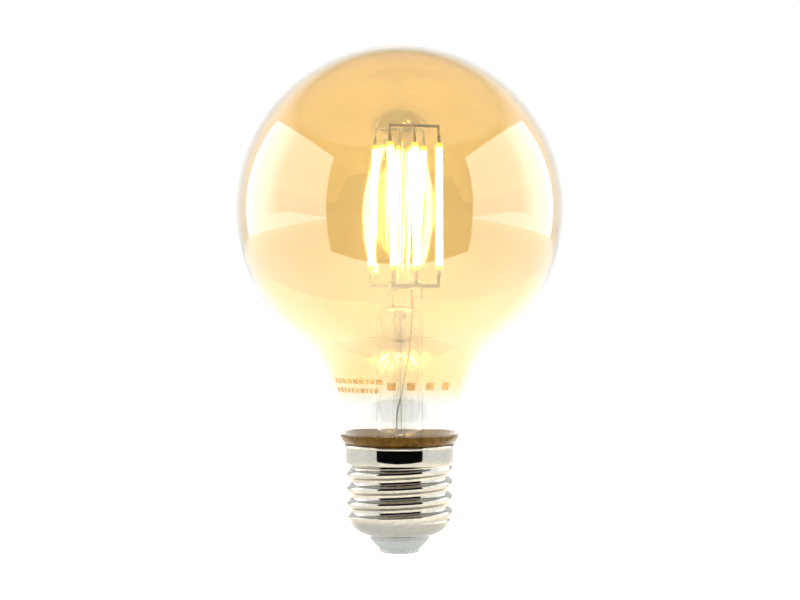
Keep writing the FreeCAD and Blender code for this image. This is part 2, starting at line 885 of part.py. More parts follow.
def make_fuse_resistor():
    """The fusible resistor in line between the end contact and the board."""
    wire = size("hookup_wire_radius")
    low = size("insulator_top") + 0.4
    high = size("board_low")
    corners = [
        (0.0, low), (wire, low), (wire, low + 1.0),
        (0.9, low + 1.0), (1.15, low + 1.4), (1.15, high - 1.4), (0.9, high - 1.0),
        (wire, high - 1.0), (wire, high), (0.0, high),
    ]
    return node(revolved("fuse_resistor", corners), "fuse_resistor")


def make_neutral_lead():
    """The wire from the board over the liner to the inside of the screw shell."""
    x, y = NEUTRAL_LEAD
    over = size("liner_top") + 0.7
    wire = bent_wire("neutral_lead", size("hookup_wire_radius"), [
        (x, y, size("board_low") - 0.4), (x, y, over), (-12.7, y, over),
    ], 0.8)
    return node(wire, "neutral_lead")


def make_chip(label, width, depth, height, leg_count, x, y, top):
    """A surface-mounted package that hangs under the board, with legs down both long sides."""
    leg_drop = 0.1
    parts = [box(f"{label}_case", width, depth, height, x, y, top - leg_drop - height)]
    pitch = width / leg_count
    for side in (-1, 1):
        for index in range(leg_count):
            leg_x = x - width / 2 + pitch * (index + 0.5)
            leg_y = y + side * (depth / 2 + 0.3)
            name = f"{label}_leg_{index + 1}_{'front' if side < 0 else 'back'}"
            parts.append(box(name, 0.4, 0.8, 0.8, leg_x, leg_y, top - 0.8))
    return node(fused(label, parts), label)


def make_can(label, radius, height, x, y):
    """An upright capacitor can with a crimped waist near its foot."""
    waist = 0.8
    nick = 0.25
    body = revolved(label, [
        (0.0, 0.0), (radius, 0.0), (radius, waist - nick), (radius - nick, waist),
        (radius, waist + nick), (radius, height - 0.3), (radius - 0.3, height), (0.0, height),
    ])
    place(body, x, y, size("board_low") + size("board_depth"))
    return node(body, label)


def make_power_inductor():
    """The drum-core inductor of the converter."""
    body = revolved("power_inductor", [
        (0.0, 0.0), (2.6, 0.0), (2.6, 0.8), (2.1, 0.8), (2.1, 3.2), (2.6, 3.2), (2.6, 4.0), (0.0, 4.0),
    ])
    place(body, 6.0, 4.6, size("board_low") + size("board_depth"))
    return node(body, "power_inductor")


def make_radio():
    """The small radio module with its shield can and a wire aerial that reaches above the cap."""
    board_top = size("board_low") + size("board_depth")
    module = box("radio_module", 6.0, 5.0, 0.8, -5.6, -2.6, board_top)
    node(module, "radio_module")
    shield = box("radio_shield", 3.8, 3.8, 1.2, -6.3, -2.6, board_top + 0.8)
    node(shield, "radio_shield")
    aerial = bent_wire("radio_aerial", size("lead_wire_radius"), [
        (-3.4, -1.2, board_top + 0.8), (-3.4, -1.2, 18.0), (-3.0, -1.0, 28.0),
    ], 12.0)
    node(aerial, "radio_aerial")


def make_driver():
    """Everything on the driver board."""
    board_low = size("board_low")
    make_driver_board()
    make_insulating_liner()
    make_fuse_resistor()
    make_neutral_lead()
    make_chip("bridge_rectifier", 4.7, 3.9, 1.5, 2, 5.0, 0.0, board_low)
    make_chip("driver_chip", 4.9, 3.9, 1.4, 4, -5.0, 0.0, board_low)
    node(box("sense_resistor", 3.2, 1.6, 0.6, 0.0, 6.2, board_low - 0.6), "sense_resistor")
    make_can("input_capacitor", 2.5, 5.4, 5.6, -3.6)
    make_can("output_capacitor", 2.0, 4.8, -6.2, 4.0)
    make_power_inductor()
    make_radio()


# ---------------------------------------------------------------- assembly

def check_document():
    """Stops with a message if any object failed, or any node is not one valid closed solid."""
    for item in doc.Objects:
        if "Invalid" in item.State or "Error" in item.State:
            raise RuntimeError(f"{item.Label} failed: {item.State}")
    for part in nodes:
        shape = part.Shape
        if shape.isNull() or not shape.isValid() or len(shape.Solids) != 1:
            raise RuntimeError(f"{part.Label} is not one valid solid")


make_screw_shell()
make_cap_insulator()
make_centre_contact()
make_basing_cement()
make_glass_envelope()
seals = make_dumet_seals()
make_lead_wires()
inner_leads = make_inner_leads()
make_glass_stem([*seals, *inner_leads])
make_exhaust_tube()
make_support_rod(make_upper_link_wire())
make_cage()
make_driver()
doc.recompute()
check_document()
for part in nodes:
    part.Shape.exportStep(f"parts/{part.Label}.step")
    print(part.Label, round(part.Shape.Volume, 2))
print("nodes", len(nodes))
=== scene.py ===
"""Amber globe filament lamp, lit, on a plain white ground. Lengths are in metres, MM is one millimetre."""
import json
import math
import random

import bmesh
import bpy
from mathutils import Matrix, Vector


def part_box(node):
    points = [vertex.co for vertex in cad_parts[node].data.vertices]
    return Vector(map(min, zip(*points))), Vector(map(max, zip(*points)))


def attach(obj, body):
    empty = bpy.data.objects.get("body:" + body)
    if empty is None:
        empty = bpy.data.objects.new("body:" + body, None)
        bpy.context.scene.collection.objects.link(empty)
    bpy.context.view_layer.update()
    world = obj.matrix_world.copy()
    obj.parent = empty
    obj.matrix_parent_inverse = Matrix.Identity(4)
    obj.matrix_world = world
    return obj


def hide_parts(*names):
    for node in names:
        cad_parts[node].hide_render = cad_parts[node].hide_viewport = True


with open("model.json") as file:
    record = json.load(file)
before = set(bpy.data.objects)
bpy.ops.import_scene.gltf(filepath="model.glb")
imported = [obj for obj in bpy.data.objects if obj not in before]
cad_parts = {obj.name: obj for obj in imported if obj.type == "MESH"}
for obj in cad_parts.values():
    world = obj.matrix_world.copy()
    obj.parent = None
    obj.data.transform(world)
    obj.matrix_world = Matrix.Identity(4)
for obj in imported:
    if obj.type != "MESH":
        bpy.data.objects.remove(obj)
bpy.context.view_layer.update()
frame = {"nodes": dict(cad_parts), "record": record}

MM = 0.001

# ---------------------------------------------------------------- sizes

envelope_low, envelope_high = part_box("glass_envelope")
shell_low, shell_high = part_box("screw_shell")
stem_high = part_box("glass_stem")[1]
contact_low, contact_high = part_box("centre_contact")
cement_low, cement_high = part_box("basing_cement")
insulator_low, insulator_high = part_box("cap_insulator")

LAMP_LENGTH = envelope_high[2]
GLOBE_RADIUS = 40.0 * MM
SHOULDER_BLEND = 21.5 * MM
NECK_RADIUS = 15.85 * MM
NECK_LOW = 34.0 * MM
NECK_ROUNDING = 10.0 * MM
SKIRT_RADIUS = 11.0 * MM
SKIRT_BLEND = 2.5 * MM
GLASS_WALL = 0.8 * MM
SEAL_HEIGHT = envelope_low[2]

STEM_RADIUS = 5.7 * MM
STEM_LOW = 29.0 * MM
STEM_HIGH = 57.0 * MM
FLARE_RADIUS = stem_high[0]
DOME_TOP = 60.3 * MM
DOME_ROUNDING = 3.3 * MM
PRESS_WIDTH = 5.5 * MM
PRESS_DEPTH = 3.0 * MM
PRESS_OFFSET = 0.8 * MM
PRESS_LOW = DOME_TOP - 1.2 * MM
PRESS_TOP = stem_high[2]

THREAD_PITCH = 3.629 * MM
THREAD_CREST = 13.1 * MM
THREAD_DEPTH = 1.0 * MM
THREAD_PHASE = 13.6 * MM
THREAD_START = 6.8 * MM
THREAD_GROWTH = 2.6 * MM
THREAD_TOP = 22.2 * MM
THREAD_FADE = 1.4 * MM
COLLAR_RADIUS = 13.25 * MM
RIM_RADIUS = shell_high[0]
RIM_HEIGHT = shell_high[2]
RIM_ROLL = 0.9 * MM
SHEET = 0.3 * MM
CAP_HOLE = 7.0 * MM
CAP_FOOT = shell_low[2]
CLEARANCE = 0.02 * MM

CEMENT_SHOULDER = 25.0 * MM
CEMENT_LIP = 0.35 * MM

INSULATOR_RADIUS = 7.3 * MM
INSULATOR_CORNER = 0.6 * MM
INSULATOR_BORE = 1.45 * MM

CONTACT_EDGE = 0.45 * MM
CONTACT_BACK = 0.88 * MM
SOLDER_RADIUS = 1.1 * MM
GROOVE_DEPTH = 0.12 * MM
RIVET_RADIUS = 1.4 * MM

FILAMENTS = range(1, 7)
FILAMENT_HALF = 15.5 * MM
FILAMENT_RADIUS = 0.85 * MM
FILAMENT_TIP = 0.6 * MM
CHIP_PITCH = 1.25 * MM

COATING_FADE_LOW = 37.0 * MM
COATING_FADE_HIGH = 44.0 * MM
COATING_UNEVEN = 1.5 * MM

WELD_RADIUS = 0.36 * MM
FRONT_WELD = (2.8 * MM, -0.62 * MM, 54.1 * MM)
BACK_WELD = (0.1 * MM, 2.4 * MM, 57.1 * MM)

MARK_LIFT = 0.015 * MM
BAR_ROWS = (42.4 * MM, 40.2 * MM)
BAR_HEIGHT = 1.1 * MM
BAR_START, BAR_STOP = -155.0, -108.0
BLOCK_ANGLES = (-100.0, -84.0, -68.0, -52.0)
BLOCK_WIDTH = 7.0
BLOCK_LOW, BLOCK_HIGH = 40.4 * MM, 42.2 * MM

# ---------------------------------------------------------------- light and camera values

GLASS_IOR = 1.5
FILM_IOR = 1.9
FILM_ROUGHNESS = 0.04
NECK_FILM = 0.15
FILAMENT_GLOW = 320.0
TIP_GLOW = 0.9

BACKDROP = 1.01
CEILING = 0.35
DARK_SIDE = 0.004
DIM_BACK = 0.08
FLOOR_SEEN = BACKDROP - 0.15
FLOOR_BOUNCED = 0.5
FLOOR_OUTLINE = (
    (-3.0, -0.5), (-0.6, -0.5), (-0.13, -0.12), (0.13, -0.12),
    (0.6, -0.5), (3.0, -0.5), (3.0, 3.0), (-3.0, 3.0),
)
FLOOR_GAP = 0.1 * MM

SOFTBOX_POWER = 2.75
SOFTBOX_ASIDE = 0.55
SOFTBOX_BACK = 0.02
SOFTBOX_MIDDLE = 0.25
SOFTBOX_WIDTH = 0.96
SOFTBOX_HEIGHT = 0.50

CAMERA_PLACE = (0.0, -0.5, 0.0651)
CAMERA_TARGET = (0.0001, 0.0, LAMP_LENGTH / 2 - 0.25 * MM)
CAMERA_LENS = 91.7
CAMERA_SENSOR = 36.0

# ---------------------------------------------------------------- node helpers


def new_material(name):
    """A node material, its tree, its Principled shader and its output."""
    material = bpy.data.materials.new(name)
    material.use_nodes = True
    tree = material.node_tree
    shader = tree.nodes["Principled BSDF"]
    return material, tree, shader, tree.nodes["Material Output"]


def coordinate(tree, space, axis):
    """One axis of a texture coordinate."""
    place = tree.nodes.new("ShaderNodeTexCoord")
    axes = tree.nodes.new("ShaderNodeSeparateXYZ")
    tree.links.new(place.outputs[space], axes.inputs["Vector"])
    return axes.outputs[axis]


def math_node(tree, operation, *values, clamp=False):
    """The result of a math node over sockets and plain numbers."""
    node = tree.nodes.new("ShaderNodeMath")
    node.operation = operation
    node.use_clamp = clamp
    for socket, value in zip(node.inputs, values):
        if isinstance(value, float):
            socket.default_value = value
        else:
            tree.links.new(value, socket)
    return node.outputs["Value"]


def object_noise(tree, scale, detail, stretch=(1.0, 1.0, 1.0)):
    """Noise fixed to the object, with a scale per metre."""
    place = tree.nodes.new("ShaderNodeTexCoord")
    mapping = tree.nodes.new("ShaderNodeMapping")
    mapping.inputs["Scale"].default_value = stretch
    noise = tree.nodes.new("ShaderNodeTexNoise")
    noise.inputs["Scale"].default_value = scale
    noise.inputs["Detail"].default_value = detail
    tree.links.new(place.outputs["Object"], mapping.inputs["Vector"])
    tree.links.new(mapping.outputs["Vector"], noise.inputs["Vector"])
    return noise.outputs["Fac"]


def ramp(tree, factor, stops):
    """A colour ramp over a factor; each stop is (position, colour)."""
    node = tree.nodes.new("ShaderNodeValToRGB")
    elements = node.color_ramp.elements
    while len(elements) < len(stops):
        elements.new(0.5)
    for element, (position, colour) in zip(elements, stops):
        element.position = position
        element.color = (*colour, 1.0)
    tree.links.new(factor, node.inputs["Fac"])
    return node.outputs["Color"]


def map_range(tree, value, from_low, from_high, to_low=0.0, to_high=1.0, smooth=False):
    """Maps a value from one range to another."""
    node = tree.nodes.new("ShaderNodeMapRange")
    if smooth:
        node.interpolation_type = "SMOOTHSTEP"
    node.inputs["From Min"].default_value = from_low
    node.inputs["From Max"].default_value = from_high
    node.inputs["To Min"].default_value = to_low
    node.inputs["To Max"].default_value = to_high
    tree.links.new(value, node.inputs["Value"])
    return node.outputs["Result"]


def bump(tree, shader, height, strength, distance):
    """Bump from a height."""
    node = tree.nodes.new("ShaderNodeBump")
    node.inputs["Strength"].default_value = strength
    node.inputs["Distance"].default_value = distance
    tree.links.new(height, node.inputs["Height"])
    tree.links.new(node.outputs["Normal"], shader.inputs["Normal"])


def lets_lamps_through(tree, shader, output):
    """Glass passes light from lamps straight through."""
    path = tree.nodes.new("ShaderNodeLightPath")
    clear = tree.nodes.new("ShaderNodeBsdfTransparent")
    mix = tree.nodes.new("ShaderNodeMixShader")
    tree.links.new(path.outputs["Is Shadow Ray"], mix.inputs["Fac"])
    tree.links.new(shader.outputs["BSDF"], mix.inputs[1])
    tree.links.new(clear.outputs["BSDF"], mix.inputs[2])
    tree.links.new(mix.outputs["Shader"], output.inputs["Surface"])


# ---------------------------------------------------------------- materials


def set_glass(shader):
    """Makes a shader clear and smooth."""
    shader.inputs["Transmission Weight"].default_value = 1.0
    shader.inputs["IOR"].default_value = GLASS_IOR
    shader.inputs["Roughness"].default_value = 0.0


def amber_glass():
    """Clear glass with a glossy amber film over the globe that thins out down the neck."""
    material, tree, shader, output = new_material("amber_glass")
    set_glass(shader)
    uneven = object_noise(tree, 60.0, 2.0)
    height = math_node(tree, "MULTIPLY_ADD", uneven, COATING_UNEVEN, coordinate(tree, "Object", "Z"))
    coated = map_range(tree, height, COATING_FADE_LOW, COATING_FADE_HIGH, smooth=True)
    colour = ramp(tree, coated, [
        (0.0, (0.85, 0.845, 0.825)),
        (1.0, (0.93, 0.74, 0.41)),
    ])
    tree.links.new(colour, shader.inputs["Base Color"])
    film = map_range(tree, coated, 0.0, 1.0, NECK_FILM, 1.0)
    tree.links.new(film, shader.inputs["Coat Weight"])
    shader.inputs["Coat IOR"].default_value = FILM_IOR
    shader.inputs["Coat Roughness"].default_value = FILM_ROUGHNESS
    lets_lamps_through(tree, shader, output)
    return material


def clear_glass():
    """Stem glass with faint flow lines."""
    material, tree, shader, output = new_material("clear_glass")
    set_glass(shader)
    shader.inputs["Base Color"].default_value = (0.97, 0.975, 0.96, 1.0)
    flow = object_noise(tree, 500.0, 2.0, (1.0, 1.0, 0.15))
    bump(tree, shader, flow, 0.25, 0.1 * MM)
    lets_lamps_through(tree, shader, output)
    return material


def add_grain(tree, shader, noise, dark, light):
    """Uneven tone from a noise."""
    colour = ramp(tree, noise, [(GRAIN_LOW, dark), (GRAIN_HIGH, light)])
    tree.links.new(colour, shader.inputs["Base Color"])


def add_wear(tree, shader, noise, smoothest, roughest):
    """Uneven roughness from a noise."""
    rough = map_range(tree, noise, GRAIN_LOW, GRAIN_HIGH, smoothest, roughest)
    tree.links.new(rough, shader.inputs["Roughness"])


def metal(name, dark, light, roughness, scale, relief=0.1, stretch=(1.0, 1.0, 1.0)):
    """Metal with uneven tone, roughness and fine relief."""
    material, tree, shader, _ = new_material(name)
    shader.inputs["Metallic"].default_value = 1.0
    noise = object_noise(tree, scale, 6.0, stretch)
    add_grain(tree, shader, noise, dark, light)
    add_wear(tree, shader, noise, roughness * 0.7, roughness * 1.3)
    bump(tree, shader, noise, relief, 0.02 * MM)
    return material


def grained(name, dark, light, roughness, scale):
    """A ceramic, plastic or printed board with fine grain."""
    material, tree, shader, _ = new_material(name)
    noise = object_noise(tree, scale, 6.0)
    add_grain(tree, shader, noise, dark, light)
    add_wear(tree, shader, noise, roughness * 0.8, roughness * 1.2)
    bump(tree, shader, noise, 0.3, 0.05 * MM)
    return material


def cement():
    """Glossy brown baked cement whose highlights are golden."""
    material, tree, shader, _ = new_material("cement_brown")
    noise = object_noise(tree, 700.0, 6.0)
    add_grain(tree, shader, noise, (0.03, 0.011, 0.0005), (0.10, 0.045, 0.003))
    add_wear(tree, shader, noise, 0.12, 0.24)
    shader.inputs["Specular IOR Level"].default_value = 0.35
    shader.inputs["Specular Tint"].default_value = (1.0, 0.72, 0.22, 1.0)
    bump(tree, shader, noise, 0.5, 0.05 * MM)
    return material


def marking():
    """Thin golden-brown print, uneven and slightly see-through."""
    material, tree, shader, _ = new_material("golden_print")
    noise = object_noise(tree, 1800.0, 4.0)
    add_grain(tree, shader, noise, (0.50, 0.25, 0.05), (0.66, 0.38, 0.10))
    cover = map_range(tree, noise, 0.3, 0.6, 0.55, 0.85)
    tree.links.new(cover, shader.inputs["Alpha"])
    shader.inputs["Roughness"].default_value = 0.5
    return material


def phosphor():
    """Glowing yellow phosphor, dimmer and deeper yellow at both ends of the filament."""
    material, tree, shader, _ = new_material("phosphor")
    from_middle = math_node(tree, "ABSOLUTE", coordinate(tree, "Object", "Z"))
    end_zone = FILAMENT_HALF - 2.2 * MM
    end = map_range(tree, from_middle, end_zone, FILAMENT_HALF - FILAMENT_TIP, smooth=True)
    glow = ramp(tree, end, [
        (0.0, (1.0, 0.86, 0.60)),
        (0.5, (1.0, 0.80, 0.16)),
        (1.0, (1.0, 0.66, 0.02)),
    ])
    strength = map_range(tree, end, 0.0, 1.0, FILAMENT_GLOW, TIP_GLOW)
    shader.inputs["Base Color"].default_value = (0.95, 0.72, 0.12, 1.0)
    shader.inputs["Roughness"].default_value = 0.7
    tree.links.new(glow, shader.inputs["Emission Color"])
    tree.links.new(strength, shader.inputs["Emission Strength"])
    return material


GRAIN_LOW, GRAIN_HIGH = 0.3, 0.7

# Each look is a dark and a light tone, a roughness and a grain scale per metre. A metal may also
# have its own relief and the grain's stretch.
METALS = {
    "cap_nickel": ((0.41, 0.40, 0.365), (0.49, 0.48, 0.44), 0.05, 900.0, 0.05, (1.0, 1.0, 3.0)),
    "contact_metal": ((0.46, 0.45, 0.42), (0.66, 0.65, 0.62), 0.3, 1500.0),
    "dumet_copper": ((0.50, 0.10, 0.06), (0.72, 0.22, 0.12), 0.35, 1500.0),
    "lead_wire": ((0.20, 0.16, 0.12), (0.38, 0.33, 0.27), 0.35, 1500.0),
    "nickel_wire": ((0.26, 0.25, 0.22), (0.42, 0.41, 0.38), 0.3, 1500.0),
    "bracket_steel": ((0.11, 0.11, 0.105), (0.24, 0.24, 0.23), 0.4, 1200.0, 0.3),
    "tab_metal": ((0.12, 0.09, 0.05), (0.26, 0.20, 0.12), 0.4, 1500.0),
    "shield_metal": ((0.5, 0.5, 0.48), (0.7, 0.7, 0.68), 0.3, 900.0),
}
GRAINED = {
    "insulator_grey": ((0.44, 0.47, 0.47), (0.54, 0.57, 0.57), 0.55, 1800.0),
    "strip_ceramic": ((0.8, 0.8, 0.77), (0.9, 0.9, 0.87), 0.6, 1500.0),
    "board_green": ((0.02, 0.16, 0.07), (0.04, 0.24, 0.10), 0.35, 900.0),
    "liner_plastic": ((0.78, 0.78, 0.76), (0.86, 0.86, 0.84), 0.5, 900.0),
    "resistor_body": ((0.2, 0.34, 0.25), (0.26, 0.42, 0.32), 0.4, 900.0),
    "chip_black": ((0.015, 0.015, 0.016), (0.04, 0.04, 0.04), 0.6, 2500.0),
    "capacitor_sleeve": ((0.02, 0.03, 0.06), (0.04, 0.05, 0.09), 0.25, 900.0),
    "ferrite_grey": ((0.06, 0.06, 0.06), (0.12, 0.12, 0.12), 0.6, 1500.0),
}


def make_materials():
    """One material for each slot of the record."""
    materials = {name: metal(name, *look) for name, look in METALS.items()}
    materials.update({name: grained(name, *look) for name, look in GRAINED.items()})
    materials["amber_glass"] = amber_glass()
    materials["clear_glass"] = clear_glass()
    materials["cement_brown"] = cement()
    materials["phosphor"] = phosphor()
    return materials


MATERIALS = make_materials()

# ---------------------------------------------------------------- mesh helpers


def arc(centre, radius, start, stop, steps):
    """Points of an arc between two points of its circle, the short way round."""
    first = math.atan2(start[1] - centre[1], start[0] - centre[0])
    last = math.atan2(stop[1] - centre[1], stop[0] - centre[0])
    if last - first > math.pi:
        last -= 2 * math.pi
    if first - last > math.pi:
        last += 2 * math.pi
    points = []
    for step in range(steps + 1):
        angle = first + (last - first) * step / steps
        points.append((centre[0] + radius * math.cos(angle), centre[1] + radius * math.sin(angle)))
    return points


def add_object(name, data):
    """An object in the scene."""
    thing = bpy.data.objects.new(name, data)
    bpy.context.scene.collection.objects.link(thing)
    return thing


def piece(name, mesh, slot, *replaced, material=None, place=None):
    """A finished piece of the lamp that rides on its one body."""
    thing = add_object(name, mesh)
    thing.data.materials.append(material or MATERIALS[slot])
    if place is not None:
        thing.matrix_world = place
    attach(thing, "root")
    if replaced:
        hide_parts(*replaced)


def mesh_from(name, bm):
    """A mesh from a bmesh, shaded smooth."""
    bmesh.ops.remove_doubles(bm, verts=bm.verts, dist=1e-7)
    bmesh.ops.recalc_face_normals(bm, faces=bm.faces)
    mesh = bpy.data.meshes.new(name)
    bm.to_mesh(mesh)
    bm.free()
    for face in mesh.polygons:
        face.use_smooth = True
    return mesh


def between(start, stop, share):
    """The point at a share of the way from start to stop."""
    return (start[0] + (stop[0] - start[0]) * share, start[1] + (stop[1] - start[1]) * share)


def lathe(name, profile, around, crease):
    """A closed solid of revolution about Z from a closed profile of (radius, height) points."""
    bm = bmesh.new()
    rings = []
    for radius, height in profile:
        if radius < 1e-7:
            rings.append([bm.verts.new((0.0, 0.0, height))])
            continue
        ring = []
        for step in range(around):
            angle = 2 * math.pi * step / around
            ring.append(bm.verts.new((radius * math.cos(angle), radius * math.sin(angle), height)))
        rings.append(ring)
    for lower, upper in zip(rings, rings[1:] + rings[:1]):
        join_rings(bm, lower, upper)
    mesh = mesh_from(name, bm)
    mesh.set_sharp_from_angle(angle=math.radians(crease))
    return mesh


def join_rings(bm, lower, upper):
    """Faces between two rings of one length, or between a ring and a point."""
    count = max(len(lower), len(upper))
    if count == 1:
        return
    for step in range(count):
        following = (step + 1) % count
        corners = [lower[step % len(lower)], lower[following % len(lower)],
                   upper[following % len(upper)], upper[step % len(upper)]]
        bm.faces.new(list(dict.fromkeys(corners)))


# ---------------------------------------------------------------- glass pieces


def touch(first, first_radius, second, second_radius, inset):
    """Where two circles that touch from outside meet, set in towards the first."""
    share = (first_radius - inset) / (first_radius + second_radius)
    return between(first, second, share)


def envelope_side(inset):
    """One side of the glass wall, from the top of the globe down to the skirt."""
    globe = (0.0, LAMP_LENGTH - GLOBE_RADIUS)
    shoulder_x = NECK_RADIUS + SHOULDER_BLEND
    reach = GLOBE_RADIUS + SHOULDER_BLEND
    shoulder = (shoulder_x, globe[1] - math.sqrt(reach ** 2 - shoulder_x ** 2))
    rounding = (NECK_RADIUS - NECK_ROUNDING, NECK_LOW)
    skirt_x = SKIRT_RADIUS + SKIRT_BLEND
    reach = NECK_ROUNDING + SKIRT_BLEND
    skirt = (skirt_x, rounding[1] - math.sqrt(reach ** 2 - (skirt_x - rounding[0]) ** 2))
    top = (0.0, LAMP_LENGTH - inset)
    to_shoulder = touch(globe, GLOBE_RADIUS, shoulder, SHOULDER_BLEND, inset)
    to_skirt = touch(rounding, NECK_ROUNDING, skirt, SKIRT_BLEND, inset)
    neck = NECK_RADIUS - inset
    points = arc(globe, GLOBE_RADIUS - inset, top, to_shoulder, 72)
    points += arc(shoulder, SHOULDER_BLEND + inset, to_shoulder, (neck, shoulder[1]), 32)[1:]
    points += arc(rounding, NECK_ROUNDING - inset, (neck, rounding[1]), to_skirt, 20)
    points += arc(skirt, SKIRT_BLEND + inset, to_skirt, (SKIRT_RADIUS - inset, skirt[1]), 10)[1:]
    return points


def make_envelope():
    """The blown globe as one wall of glass."""
    lip = GLASS_WALL / 2
    foot = (SKIRT_RADIUS - lip, SEAL_HEIGHT + lip)
    outer = envelope_side(0.0)
    rim = arc(foot, lip, (SKIRT_RADIUS, foot[1]), (SKIRT_RADIUS - GLASS_WALL, foot[1] - 1e-9), 8)
    inner = list(reversed(envelope_side(GLASS_WALL)))
    mesh = lathe("globe_glass", outer + rim + inner, 192, 60.0)
    piece("globe_glass", mesh, "amber_glass", "glass_envelope")


def make_stem():
    """The flared stem tube with its domed head."""
    rise = STEM_LOW - SEAL_HEIGHT - GLASS_WALL
    aside = FLARE_RADIUS - STEM_RADIUS
    bend = (aside ** 2 + rise ** 2) / (2 * aside)
    centre = (STEM_RADIUS + bend, STEM_LOW)
    drop = centre[1] - SEAL_HEIGHT
    inner_rim = centre[0] - math.sqrt((bend + GLASS_WALL) ** 2 - drop ** 2)
    flat = STEM_RADIUS - DOME_ROUNDING
    head = (flat, STEM_HIGH)
    bore = STEM_RADIUS - GLASS_WALL
    points = [(0.0, DOME_TOP)]
    points += arc(head, DOME_ROUNDING, (flat, DOME_TOP), (STEM_RADIUS, STEM_HIGH), 12)
    points += arc(centre, bend, (STEM_RADIUS, STEM_LOW), (FLARE_RADIUS, SEAL_HEIGHT + GLASS_WALL), 14)
    points += [(FLARE_RADIUS, SEAL_HEIGHT)]
    points += arc(centre, bend + GLASS_WALL, (inner_rim, SEAL_HEIGHT), (bore, STEM_LOW), 14)
    points += arc(head, DOME_ROUNDING - GLASS_WALL, (bore, STEM_HIGH), (flat, DOME_TOP - GLASS_WALL), 12)
    points += [(0.0, DOME_TOP - GLASS_WALL)]
    mesh = lathe("stem_tube", points, 96, 50.0)
    piece("stem_tube", mesh, "clear_glass", "glass_stem")


def make_press():
    """The pinched slab above the stem, wider at its foot, with the jaw marks of the press."""
    bm = bmesh.new()
    levels = 14
    around = 40
    rings = []
    for level in range(levels + 1):
        share = level / levels
        pinch = 1.0 - 0.12 * math.sin(math.pi * share) + 0.10 * (1 - share) ** 2
        half_width = PRESS_WIDTH / 2 * pinch
        half_depth = PRESS_DEPTH / 2 * (1.0 - 0.22 * math.sin(math.pi * share))
        ring = []
        for step in range(around):
            angle = 2 * math.pi * step / around
            cosine, sine = math.cos(angle), math.sin(angle)
            x = math.copysign(abs(cosine) ** 0.45, cosine) * half_width
            y = math.copysign(abs(sine) ** 0.6, sine) * half_depth
            ripple = 0.12 * MM * math.sin(3 * angle + 5 * share)
            z = PRESS_LOW + (PRESS_TOP - PRESS_LOW) * share
            ring.append(bm.verts.new((PRESS_OFFSET + x, y + ripple, z)))
        rings.append(ring)
    for lower, upper in zip(rings, rings[1:]):
        join_rings(bm, lower, upper)
    bm.faces.new(list(reversed(rings[0])))
    bm.faces.new(rings[-1])
    mesh = mesh_from("stem_press", bm)
    mesh.set_sharp_from_angle(angle=math.radians(50))
    piece("stem_press", mesh, "clear_glass", "glass_stem")


# ---------------------------------------------------------------- screw cap


def thread_radius(angle, height):
    """Outer radius of the rolled round thread, which fades into the collar and into the bowl."""
    quarter = THREAD_PITCH / 4
    rounding = THREAD_DEPTH / 4 + quarter ** 2 / THREAD_DEPTH
    from_crest = (height - THREAD_PHASE - THREAD_PITCH * angle / (2 * math.pi)) % THREAD_PITCH
    from_crest = min(from_crest, THREAD_PITCH - from_crest)
    if from_crest <= quarter:
        dip = rounding - math.sqrt(rounding ** 2 - from_crest ** 2)
    else:
        from_root = THREAD_PITCH / 2 - from_crest
        dip = THREAD_DEPTH - rounding + math.sqrt(rounding ** 2 - from_root ** 2)
    grown = smooth_step((height - THREAD_START) / THREAD_GROWTH)
    thread = THREAD_CREST - dip * grown
    blend = smooth_step((height - THREAD_TOP + THREAD_FADE) / THREAD_FADE)
    thread = thread * (1 - blend) + COLLAR_RADIUS * blend
    return min(thread, bowl_radius(height))


def smooth_step(share):
    """Rises smoothly from 0 to 1."""
    share = min(1.0, max(0.0, share))
    return share * share * (3 - 2 * share)


def bowl_radius(height):
    """Outer radius of the bowl under the thread: a rounded cone."""
    bowl = THREAD_CREST - CAP_HOLE
    centre = CAP_FOOT + bowl
    if height >= centre:
        return THREAD_CREST + 1.0 * MM
    return CAP_HOLE + math.sqrt(max(0.0, bowl ** 2 - (centre - height) ** 2))


def shell_rings():
    """Heights from the shell's foot to its rim, each with its radius where there is no thread."""
    rows = 150
    bowl_rows = 12
    bowl = THREAD_CREST - CAP_HOLE
    turn = math.pi / 2 * 0.55
    for step in range(bowl_rows):
        yield CAP_FOOT + bowl * (1 - math.cos(turn * step / bowl_rows)), None
    start = CAP_FOOT + bowl * (1 - math.cos(turn))
    for step in range(rows + 1):
        yield start + (THREAD_TOP - start) * step / rows, None
    lip = RIM_HEIGHT - RIM_ROLL
    for share in (0.4, 0.8, 0.97):
        yield THREAD_TOP + (lip - THREAD_TOP) * share, COLLAR_RADIUS
    bulge = RIM_RADIUS - COLLAR_RADIUS
    roll_radius = (RIM_ROLL ** 2 / 4 + bulge ** 2) / (2 * bulge)
    centre = (RIM_RADIUS - roll_radius, RIM_HEIGHT - RIM_ROLL / 2)
    for radius, height in arc(centre, roll_radius, (COLLAR_RADIUS, lip), (COLLAR_RADIUS, RIM_HEIGHT), 10):
        yield height, radius


